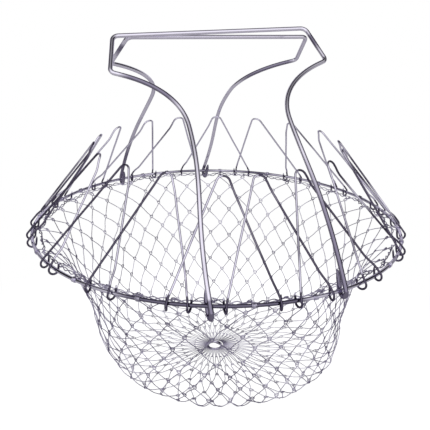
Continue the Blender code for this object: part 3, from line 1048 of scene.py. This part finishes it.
# A hitch's points: whether they are at the selvage, not the wall, then outward, aside and up.
HITCH = (
    (False, -1.2 * MM, -1.4 * MM, -1.4 * MM),
    (False, 0, -1.0 * MM, -0.6 * MM),
    (True, 0, -0.6 * MM, 1.2 * MM),
    (True, 0.8 * MM, 0, 0.2 * MM),
    (True, 0, 0.6 * MM, -1.0 * MM),
    (False, 0, 1.0 * MM, -0.6 * MM),
    (False, -1.2 * MM, 1.4 * MM, -1.4 * MM),
)


class BASKET_OT_net(bpy.types.Operator):
    """Build the knotted net bowl with its selvage"""

    bl_idname = "basket.net"
    bl_label = "Net"
    bl_options = {"REGISTER", "UNDO"}

    def execute(self, context):
        sizes = context.scene.fry_basket.net
        steel = wire_finish("net wire")
        bowl = BowlProfile()
        strays = {
            "seed": NET_SEED,
            "wander": sizes.wander,
            "wander_length": sizes.wander_length,
            "ripple_length": NET_RIPPLE_LENGTH,
        }
        sway = polar(sizes.sway, sizes.sway_side, 0)
        split = round(sizes.courses * WALL_SHARE)
        for name, courses, wire, nodes in (
            ("net_wall", range(split), sizes.wire, ("net",)),
            ("net_base", range(split, sizes.courses), sizes.wire * BASE_WIRE_SHARE, ()),
        ):
            lines = []
            for course in courses:
                thick = min(1, max(THIN_SHARE, course_radius(bowl, course) / FULL_WIRE_RADIUS))
                lines.append((course_line(bowl, course), False, net_looseness(bowl, course), thick, 0))
            piece = make_wires(
                name, lines, steel, wire=wire, sides=5, repeats=sizes.columns, ripple=0.45 * MM,
                sway=sway, sway_height=RIM_HEIGHT - sizes.top_drop, **strays,
            )
            stand_for(piece, "basket", "net_wire", *nodes)

        selvage = make_wires(
            "net_selvage", self.selvage_lines(sizes) + self.hitch_lines(sizes), steel,
            wire=sizes.wire * SELVAGE_WIRE_SHARE, sides=6, ripple=0.3 * MM, **strays,
        )
        stand_for(selvage, "basket", "net_wire")
        return {"FINISHED"}

    @staticmethod
    def selvage_lines(sizes):
        """Two wires twisted round each other, just inside the rim."""
        lines = []
        azimuths = np.linspace(0, TURN, TWIST_POINTS * sizes.selvage_twists, endpoint=False)
        radii = RIM_RADIUS - selvage_inset(azimuths)
        for side in (0, math.pi):
            path = []
            for azimuth, middle in zip(azimuths, radii):
                twist = sizes.selvage_twists * azimuth + side
                radius = middle + TWIST_WIDTH * math.cos(twist)
                height = RIM_HEIGHT - sizes.top_drop + TWIST_HEIGHT * math.sin(twist)
                path.append(polar(radius, azimuth, height))
            lines.append((path, True, SELVAGE_LOOSENESS, 1, 0))
        return lines

    @staticmethod
    def hitch_lines(sizes):
        """A loop from each top knot of the wall over the selvage."""
        lines = []
        wall = RIM_RADIUS - sizes.top_inset
        height = RIM_HEIGHT - sizes.top_drop
        for column in range(sizes.columns):
            azimuth = TURN * column / sizes.columns
            out = RIM_RADIUS - selvage_inset(azimuth)
            path = []
            for at_selvage, outward, aside, lift in HITCH:
                radius = (out if at_selvage else wall) + outward
                path.append(polar(radius, azimuth + aside / radius, height + lift))
            lines.append((path, False, SELVAGE_LOOSENESS, 1, 0))
        return lines


RING_POINTS = 48


class BASKET_OT_centre_ring(bpy.types.Operator):
    """Build the ring that gathers the net in the middle of the base"""

    bl_idname = "basket.centre_ring"
    bl_label = "Centre ring"
    bl_options = {"REGISTER", "UNDO"}

    def execute(self, context):
        sizes = context.scene.fry_basket.net
        low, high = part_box("net_centre_ring")
        radius = (high.x - low.x - sizes.centre_ring_wire) / 2
        height = (high.z + low.z) / 2
        path = [polar(radius, TURN * step / RING_POINTS, height) for step in range(RING_POINTS)]
        ring = make_wires(
            "centre_ring", [(path, True, 1, 1, 0)], wire_finish("centre ring wire"),
            wire=sizes.centre_ring_wire, sides=12, wander=0.05 * MM, wander_length=8 * MM, seed=5.0,
        )
        stand_for(ring, "basket", "centre_ring_wire", "net_centre_ring")
        return {"FINISHED"}


COIL_TURNS = 4
COIL_STEPS = 16
COIL_PITCH = 0.62 * MM
COIL_GAP = 0.03 * MM
COIL_REACH = 1.1 * MM
LONG_TURN = 2.5
TIE_LOOSENESS = 0.5


class BASKET_OT_ties(bpy.types.Operator):
    """Build the wire ties that hold the net in the rim"""

    bl_idname = "basket.ties"
    bl_label = "Ties"
    bl_options = {"REGISTER", "UNDO"}

    def execute(self, context):
        sizes = context.scene.fry_basket.net
        steel = wire_finish("tie wire")
        for number, node in enumerate(TIES):
            path = self.coil(middle_azimuth(node), sizes, 1 if number % 2 else -1)
            lines = [(path, False, TIE_LOOSENESS, end_shares(path), 0)]
            piece = make_wires(
                node.replace("net_tie", "tie_wrap"), lines, steel,
                wire=sizes.tie_wire, sides=8, wander=0.1 * MM, wander_length=3 * MM, seed=7.0,
            )
            stand_for(piece, "basket", "tie_wire", node)
        return {"FINISHED"}

    @staticmethod
    def coil(azimuth, sizes, hand):
        """Two turns on the rim, one long turn round the selvage, and one more turn on the rim."""
        snug = (RIM_WIRE + sizes.tie_wire) / 2 + COIL_GAP
        reach = selvage_inset(azimuth) + COIL_REACH
        path = []
        for step in range(COIL_TURNS * COIL_STEPS + 1):
            turn = step / COIL_STEPS
            spin = TURN * turn
            inward = -math.cos(spin)
            radius = snug
            if abs(turn - LONG_TURN) < 0.5 and inward > 0:
                radius += (reach - snug) * (0.5 + 0.5 * inward)
            along = (turn - COIL_TURNS / 2) * COIL_PITCH * hand
            height = RIM_HEIGHT + math.sin(spin) * snug
            path.append(polar(RIM_RADIUS - inward * radius, azimuth + along / RIM_RADIUS, height))
        return path


FLOOR_REACH = 3.0
FLOOR_DROP = 0.1 * MM
SHADOW_START = 0.45
WHITE = (1, 1, 1, 1)
LAMP_AIM = Vector((0, 0, 0.08))
LAMPS = (
    ("key lamp", (-0.55, -0.75, 1.15), 0.55, 16.0),
    ("fill lamp", (0.95, -0.35, 0.75), 0.7, 6.0),
    ("top lamp", (0.1, 0.5, 1.3), 0.9, 12.0),
)

# How much a direction faces the camera's side, from -1 to 1, where what it mirrors changes.
BRIGHT_FACING = (0.0, 0.9)
FAR_FACING = (-0.8, -0.25)


def emptied_tree(owner):
    """The node tree of a material or a world, with nothing in it yet."""
    owner.use_nodes = True
    owner.node_tree.nodes.clear()
    return Socket(owner.node_tree)


class BASKET_OT_stage(bpy.types.Operator):
    """Set the floor, the soft lamps, the white ground and the camera"""

    bl_idname = "basket.stage"
    bl_label = "Stage"
    bl_options = {"REGISTER", "UNDO"}

    def execute(self, context):
        stage = context.scene.fry_basket.stage
        self.ground(stage)
        self.lamps()
        self.world(stage)
        self.camera(stage)
        context.scene.view_settings.view_transform = "Standard"
        return {"FINISHED"}

    @staticmethod
    def ground(stage):
        mesh = bpy.data.meshes.new("floor")
        sides = ((-1, -1), (1, -1), (1, 1), (-1, 1))
        corners = [(x * FLOOR_REACH, y * FLOOR_REACH, -FLOOR_DROP) for x, y in sides]
        mesh.from_pydata(corners, [], [(0, 1, 2, 3)])
        floor = new_object("floor", mesh)
        material = bpy.data.materials.new("floor")
        start = emptied_tree(material)
        matt = start.node("ShaderNodeBsdfDiffuse", inputs={"Color": (*stage.floor, 1)})
        seen = start.node("ShaderNodeLightPath", output="Is Camera Ray")
        place = start.node("ShaderNodeTexCoord", output="Object")
        reach = stage.shadow_reach
        distance = start.vector("LENGTH", place, output="Value")
        near = distance.faded(reach * SHADOW_START, reach, stage.shadow, 0.0)
        shown = matt
        for when, strength in (
            (seen * (1 - near), 1.0),
            (seen.other("Is Glossy Ray"), stage.mirrored_floor),
        ):
            glow = start.node("ShaderNodeEmission", inputs={"Color": WHITE, "Strength": strength})
            shown = start.node("ShaderNodeMixShader", inputs={0: when, 1: shown, 2: glow})
        start.node("ShaderNodeOutputMaterial", inputs={"Surface": shown})
        mesh.materials.append(material)

    @staticmethod
    def lamps():
        for name, place, size, power in LAMPS:
            lamp = bpy.data.lights.new(name, "AREA")
            lamp.size = size
            lamp.energy = power
            holder = new_object(name, lamp)
            holder.location = place
            aim = LAMP_AIM - Vector(place)
            holder.rotation_euler = aim.to_track_quat("-Z", "Y").to_euler()
            holder.visible_glossy = False

    @staticmethod
    def world(stage):
        """White to the camera. The wires mirror light from behind the camera and the basket."""
        world = bpy.context.scene.world or bpy.data.worlds.new("world")
        bpy.context.scene.world = world
        start = emptied_tree(world)
        seen = start.node("ShaderNodeLightPath", output="Is Camera Ray")
        glossy = seen.other("Is Glossy Ray")
        toward = start.node("ShaderNodeTexCoord", output="Generated")
        facing = start.vector("DOT_PRODUCT", toward, tuple(camera_back(stage)), output="Value")
        mirrored = facing.faded(*BRIGHT_FACING, stage.mirrored_dark, stage.mirrored_bright)
        mirrored = mirrored + facing.faded(*FAR_FACING, stage.mirrored_far, 0.0)
        strength = seen + glossy * mirrored + (1 - seen - glossy) * stage.sky
        sky = start.node("ShaderNodeBackground", inputs={"Color": WHITE, "Strength": strength})
        start.node("ShaderNodeOutputWorld", inputs={"Surface": sky})

    @staticmethod
    def camera(stage):
        """Look from the photograph's place at the middle of the rim."""
        side, back = stage.camera_side, camera_back(stage)
        place = Vector((0, 0, RIM_HEIGHT)) + back * stage.camera_distance
        ahead = -back
        right = Vector((-math.sin(side), math.cos(side), 0))
        up = right.cross(ahead)
        ahead = ahead + right * math.tan(stage.camera_yaw) + up * math.tan(stage.camera_pitch)
        ahead.normalize()
        right = ahead.cross(up).normalized()
        up = right.cross(ahead)
        turned = Matrix((right, up, -ahead)).transposed() @ Matrix.Rotation(stage.camera_roll, 3, "Z")
        lens = bpy.data.cameras.new("camera")
        lens.sensor_width = SENSOR_MM
        lens.lens = stage.focal_pixels / PHOTO_PIXELS * SENSOR_MM
        lens.clip_start = 10 * MM
        camera = new_object("camera", lens)
        camera.matrix_world = Matrix.Translation(place) @ turned.to_4x4()
        bpy.context.scene.camera = camera


OPERATORS = (
    BASKET_OT_rim,
    BASKET_OT_prongs,
    BASKET_OT_handles,
    BASKET_OT_net,
    BASKET_OT_centre_ring,
    BASKET_OT_ties,
    BASKET_OT_stage,
)


class BASKET_PT_panel(bpy.types.Panel):
    """Buttons and sizes of the fry basket"""

    bl_idname = "BASKET_PT_panel"
    bl_label = "Fry Basket"
    bl_space_type = "VIEW_3D"
    bl_region_type = "UI"
    bl_category = "Fry Basket"

    def draw(self, context):
        basket = context.scene.fry_basket
        for operator in OPERATORS:
            self.layout.operator(operator.bl_idname)
        for group in (basket.prong, basket.handle, basket.net, basket.finish, basket.stage):
            box = self.layout.box()
            for label in group.bl_rna.properties.keys():
                if label not in ("rna_type", "name"):
                    box.prop(group, label)


CLASSES = (
    BasketProngSizes,
    BasketHandleSizes,
    BasketNetSizes,
    BasketFinish,
    BasketStage,
    BasketSettings,
    *OPERATORS,
    BASKET_PT_panel,
)


def register():
    for each in CLASSES:
        bpy.utils.register_class(each)
    bpy.types.Scene.fry_basket = bpy.props.PointerProperty(type=BasketSettings)


def unregister():
    del bpy.types.Scene.fry_basket
    for each in reversed(CLASSES):
        bpy.utils.unregister_class(each)


def main():
    register()
    for operator in OPERATORS:
        group, action = operator.bl_idname.split(".")
        getattr(getattr(bpy.ops, group), action)()


if __name__ == "__main__":
    main()
